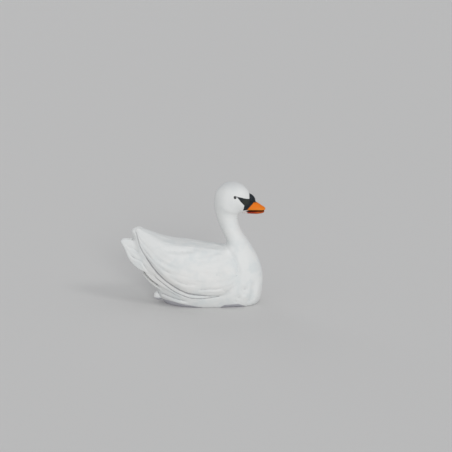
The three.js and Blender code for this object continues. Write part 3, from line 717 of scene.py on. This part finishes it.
def painted_white():
    paint = Paint("white_and_black_paint", Coat_Roughness=0.4, Specular_IOR_Level=0.22)
    spot, x, z = paint.place()
    hollowness = paint.node("ShaderNodeAttribute", {"attribute_name": "hollow"}, output="Fac")
    trim = paint.node("ShaderNodeAttribute", {"attribute_name": "trimmed"}, output="Fac")
    cool = paint.step(paint.mottle(spot, 0.16, 2.0), 0.42, 0.68)
    warm = paint.step(paint.mottle(spot, 0.35, 3.0), 0.56, 0.78)
    streaks = paint.mottle(paint.stretched(spot, (0.16, 0.5, 0.7)), 1.0, 4.0)
    specks = paint.step(paint.mottle(spot, 1.7, 2.0), 0.70, 0.76)
    color = paint.mix(cool * (0.58 - paint.step(z, COOL_LOW, COOL_HIGH) * 0.34), WHITE, COOL_WHITE)
    low_wing = paint.step(z, 7.0, 12.0) * paint.step(27.0 - z, 0.0, 9.0) * paint.step(22.0 - x, 0.0, 5.0)
    color = paint.mix(warm * 0.25 + low_wing * 0.30, color, WARM_WHITE)
    # Dust and painted shade darken the hollows.
    settled_and_shaded = paint.step(hollowness + (paint.mottle(spot, 0.8) - 0.5) * 0.5, 0.12, 1.0)
    # Painted shade round the foot, where it meets the floor.
    foot_shade = paint.step(FOOT_SHADE_HEIGHT - z + (paint.mottle(spot, 0.5) - 0.5) * FOOT_SHADE_HEIGHT, 0.2, FOOT_SHADE_HEIGHT)
    color = paint.mix(settled_and_shaded * 0.66, color, DUST_AND_SHADE)
    # Painted highlight: the shoulder is painted whiter where light falls on it.
    color = paint.mix(patch(paint, x, z, SHOULDER_HIGHLIGHT) * 0.8, color, HIGHLIGHT_WHITE)
    # Painted shade and a painted violet reflection on the trimmed bevel of the base.
    color = paint.mix(trim * (0.55 + paint.mottle(spot, 0.4) * 0.5), color, BEVEL_SHADE_GREY)
    color = paint.mix(foot_shade * 0.30, color, DUST_AND_SHADE)
    color = paint.mix(specks * 0.10, color, DUST_AND_SHADE)
    # Painted shade: the top of the head is painted darker.
    color = paint.mix(paint.step(z, CROWN_SHADE_LOW, CROWN_SHADE_HIGH) * 0.20, color, DUST_AND_SHADE)
    mask = paint.step(mask_edge(paint, spot, x, z), -0.10, 0.14)
    black = paint.mix(paint.mottle(spot, 0.7), MASK_BLACK, MASK_BLUE)
    # Painted highlight: the middle of the mask is painted a lighter, olive black.
    black = paint.mix(patch(paint, x, z, MASK_HIGHLIGHT_PATCH) * 0.8, black, MASK_HIGHLIGHT)
    color = paint.mix(mask, color, black)
    roughness = (0.52 + streaks * 0.16) * (1.0 - mask * 0.3)
    brushed = paint.bump(streaks + paint.mottle(spot, 2.6, 2.0) * 0.4, 0.35, 0.06)
    coat = (1.0 - mask) * 0.03
    return paint.finish(Base_Color=color, Roughness=roughness, Coat_Weight=coat, Normal=brushed)


skin_mesh.materials.clear()
skin_mesh.materials.append(painted_white())


# ---- Upper bill -------------------------------------------------------------------------------------
# The upper half of the bill is moulded on the head. Black paint runs over its root, and orange starts
# at a slanted line and covers the rest, thinner along the cutting edge.
BILL_RINGS, BILL_SIDES = 80, 72
UPPER_BILL = [
    # x; cutting edge z; ridge z; half width
    (26.8, 50.4, 56.6, 4.0),
    (29.4, 50.3, 56.4, 3.8),
    (31.6, 50.3, 55.1, 3.4),
    (33.6, 50.3, 54.0, 3.1),
    (35.4, 50.3, 52.8, 2.8),
    (36.8, 50.4, 51.9, 2.1),
    (37.5, 50.6, 51.2, 1.0),
]
ORANGE = (0.86, 0.19, 0.002, 1)
PALE_ORANGE = (0.80, 0.30, 0.03, 1)
GAPE_PAINT_AND_SHADE = (0.035, 0.014, 0.006, 1)
ORANGE_EDGE = (27.45, 50.6, 0.72, -0.70)  # a place on the slanted line x, z; which way the orange lies
ORANGE_TOP = 54.5  # black above this height
PALE_BELOW = 52.6  # the orange gets paler below this height
CUTTING_EDGE = 50.60
BILL_FULLNESS = 0.9


def bill_half(rows, widest):
    line = through(rows, np.linspace(0, 1, BILL_RINGS))
    back, belly = line[:, [0, 2]], line[:, [0, 1]]
    return hung(back, belly, line[:, 3], np.full(BILL_RINGS, widest), BILL_SIDES, BILL_FULLNESS)


def piece(name, form, material, slot, *nodes):
    """A piece of its own on the frame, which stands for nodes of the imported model."""
    points, faces = form
    mesh = bpy.data.meshes.new(name)
    mesh.from_pydata(((points + (FORWARD, 0, 0)) * MM).tolist(), [], faces)
    mesh.polygons.foreach_set("use_smooth", np.ones(len(faces), bool))
    mesh.materials.append(material)
    made = bpy.data.objects.new(name, mesh)
    bpy.context.scene.collection.objects.link(made)
    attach(made, "root")
    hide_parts(*nodes)
    return made


def painted_upper_bill():
    paint = Paint("orange_and_black_paint", Roughness=0.5, Specular_IOR_Level=0.2)
    spot, x, z = paint.place()
    waver = (paint.mottle(spot, 0.8, 2.0) - 0.5) * 0.5
    ahead = beyond(x, z, ORANGE_EDGE) + waver
    below = ORANGE_TOP - z + waver
    orange = paint.mix(paint.step(PALE_BELOW - z + waver, 0.0, 2.2) * 0.45, ORANGE, PALE_ORANGE)
    orange = paint.mix(paint.step(paint.mottle(spot, 1.4), 0.5, 0.75) * 0.25, orange, PALE_ORANGE)
    color = paint.mix(paint.step(ahead.least(below), -0.25, 0.35), MASK_BLACK, orange)
    # Along the cutting edge there is a dark band: partly a painted line, partly painted shade of the gape.
    color = paint.mix(paint.step(CUTTING_EDGE - z + (31.0 - x) * 0.05, 0.0, 0.3), color, GAPE_PAINT_AND_SHADE)
    brushed = paint.bump(paint.mottle(paint.stretched(spot, (0.4, 1.2, 1.2)), 1.0), 0.3, 0.06)
    return paint.finish(Base_Color=color, Normal=brushed)


piece("upper_bill", bill_half(UPPER_BILL, 0.16), painted_upper_bill(), "orange_paint", "bill_upper")


# ---- Lower bill -------------------------------------------------------------------------------------
# The lower half is a thin strip under the gape, which is painted dark and carries painted shade. It is
# red-orange, darkened with painted shade and turning orange towards the tip with a painted highlight, and
# bare and pinkish at its root, where it runs into the chin.
LOWER_BILL = [
    # x; underside z; upper edge z; half width
    (25.6, 48.7, 50.0, 3.0),
    (29.0, 48.4, 50.0, 2.9),
    (33.0, 48.2, 50.0, 2.6),
    (35.6, 48.5, 50.0, 2.2),
    (36.9, 49.0, 50.0, 1.3),
]
GAPE = [
    # the recess between the halves of the bill: x; low z; high z; half width
    (27.2, 49.7, 50.7, 2.4),
    (31.0, 49.7, 50.7, 2.3),
    (35.0, 49.7, 50.7, 1.9),
    (36.7, 49.8, 50.7, 1.0),
]
SHADED_RED_ORANGE = (0.37, 0.028, 0.005, 1)
ORANGE_HIGHLIGHT = (0.60, 0.118, 0.014, 1)
PINKISH = (0.72, 0.66, 0.64, 1)
BARE_ROOT = (27.6, 28.6)  # x where the pinkish root ends and the red is full
ORANGE_HIGHLIGHT_SPAN = (31.0, 33.5)  # x where the painted highlight on the red sets in, and where it is full
GAPE_START, GAPE_EDGE = (27.2, 28.2), (49.58, 49.86)  # x and z over which the gape's dark paint and painted shade set in


def painted_lower_bill():
    paint = Paint("red_orange_paint", Roughness=0.5, Specular_IOR_Level=0.2)
    spot, x, z = paint.place()
    waver = (paint.mottle(spot, 0.9, 2.0) - 0.5) * 0.8
    # The red carries painted shade, and a painted orange highlight lights it towards the tip.
    red = paint.mix(paint.step(x + waver, *ORANGE_HIGHLIGHT_SPAN) * 0.7, SHADED_RED_ORANGE, ORANGE_HIGHLIGHT)
    color = paint.mix(paint.step(x + waver, *BARE_ROOT), PINKISH, red)
    # Dark paint and painted shade in the gape.
    gape = paint.step(z + waver * 0.3, *GAPE_EDGE) * paint.step(x, *GAPE_START)
    color = paint.mix(gape, color, GAPE_PAINT_AND_SHADE)
    brushed = paint.bump(paint.mottle(spot, 1.5), 0.3, 0.06)
    return paint.finish(Base_Color=color, Normal=brushed)


lower_forms = joined([bill_half(LOWER_BILL, 0.8), bill_half(GAPE, 0.5)])
piece("lower_bill", lower_forms, painted_lower_bill(), "red_orange_paint", "bill_lower")


# ---- Eyes -------------------------------------------------------------------------------------------
# Each eye is a drop of glossy black paint on the side of the head, a little domed.
EYE_RADIUS = 0.82
EYE_SET = (-0.2, 0, 0.12)  # the brush set the drop a little higher and further back
EYE_DOME, EYE_ROOT = 0.50, 0.20
EYE_RINGS, EYE_SIDES = 10, 40
EYE_WAVER = 0.05  # how far, as a share, the drop's outline is out of round


def painted_eye():
    paint = Paint("eye_paint", Base_Color=(0.006, 0.007, 0.008, 1), Roughness=0.2, Coat_Weight=0.5)
    spot, _, _ = paint.place()
    return paint.finish(Roughness=0.16 + paint.mottle(spot, 2.0) * 0.12)


def eye_drop(low, high):
    """A domed drop on the skin over the middle of a node's box, along the skin's normal there."""
    middle = (np.array(low) + np.array(high)) / 2 / MM - (FORWARD, 0, 0) + EYE_SET
    nearest = ((skin_points - middle) ** 2).sum(1).argmin()
    outward = skin_normals[nearest]
    aside = unit(np.cross(outward, (0, 0, 1)))
    upward = np.cross(aside, outward)
    angle = np.linspace(0, 2 * math.pi, EYE_SIDES, endpoint=False)
    rings = []
    for tilt in np.linspace(0, math.pi / 2, EYE_RINGS):
        radius = EYE_RADIUS * (1 + EYE_WAVER * np.sin(3 * angle)) * max(math.cos(tilt), 0.02)
        lift = EYE_DOME * math.sin(tilt) - EYE_ROOT
        across = (radius * np.cos(angle))[:, None] * aside + (radius * np.sin(angle))[:, None] * upward
        rings.append(skin_points[nearest] + across + lift * outward)
    return closed(np.array(rings))


eye_material = painted_eye()
for node in ("eye_right", "eye_left"):
    piece(f"painted_{node}", eye_drop(*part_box(node)), eye_material, "black_paint", node)


# ---- Floor ------------------------------------------------------------------------------------------
# A plain pale floor that runs far back, under a sky of the same pale grey.
FLOOR_SIZE = 30.0
FLOOR_COLOR = (0.71, 0.705, 0.695, 1)
SKY_COLOR, SKY_STRENGTH = (0.80, 0.81, 0.83, 1), 0.62

pale_floor = Paint("pale_floor", Base_Color=FLOOR_COLOR, Roughness=0.9, Specular_IOR_Level=0.1)
floor_mesh = bpy.data.meshes.new("floor")
reach = FLOOR_SIZE / 2
floor_corners = [(-reach, -reach, 0), (reach, -reach, 0), (reach, reach, 0), (-reach, reach, 0)]
floor_mesh.from_pydata(floor_corners, [], [(0, 1, 2, 3)])
floor_mesh.materials.append(pale_floor.material)
floor = bpy.data.objects.new("floor", floor_mesh)
bpy.context.scene.collection.objects.link(floor)

world = bpy.data.worlds.new("pale_room")
world.use_nodes = True
world.node_tree.nodes["Background"].inputs["Color"].default_value = SKY_COLOR
world.node_tree.nodes["Background"].inputs["Strength"].default_value = SKY_STRENGTH
bpy.context.scene.world = world


# ---- Lights -----------------------------------------------------------------------------------------
# Soft, even studio light: a broad one in front of the swan's right side, a smaller one high on its
# right front, and a weak one behind that draws its outline. None of them leaves a pool on the floor.
LIGHTS = [
    # name; where it shines from; strength; how many degrees wide it looks
    ("front", (0.12, -0.58, 0.17), 0.99, 18),
    ("high_front", (0.30, -0.24, 0.33), 0.34, 16),
    ("behind", (-0.30, 0.50, 0.30), 0.22, 34),
]

for name, source, strength, width in LIGHTS:
    light = bpy.data.lights.new(name, "SUN")
    light.energy = strength
    light.angle = math.radians(width)
    lamp = bpy.data.objects.new(name, light)
    lamp.location = source
    lamp.rotation_euler = (-Vector(source)).to_track_quat("-Z", "Y").to_euler()
    bpy.context.scene.collection.objects.link(lamp)


# ---- Camera -----------------------------------------------------------------------------------------
# The camera stands half a metre from the swan's right side and looks a little down on it.
CAMERA_PLACE = (17.05 + FORWARD, -507.4, 166.17)
CAMERA_PITCH = 13.8
FOCAL_PIXELS, FRAME_PIXELS = 1000, 452

camera_data = bpy.data.cameras.new("camera")
camera_data.sensor_width = 36
camera_data.lens = camera_data.sensor_width * FOCAL_PIXELS / FRAME_PIXELS
camera_data.clip_start = 0.01
camera = bpy.data.objects.new("camera", camera_data)
camera.location = Vector(CAMERA_PLACE) * MM
camera.rotation_euler = (math.radians(90 - CAMERA_PITCH), 0, 0)
bpy.context.scene.collection.objects.link(camera)
bpy.context.scene.camera = camera
bpy.context.scene.view_settings.view_transform = "Standard"
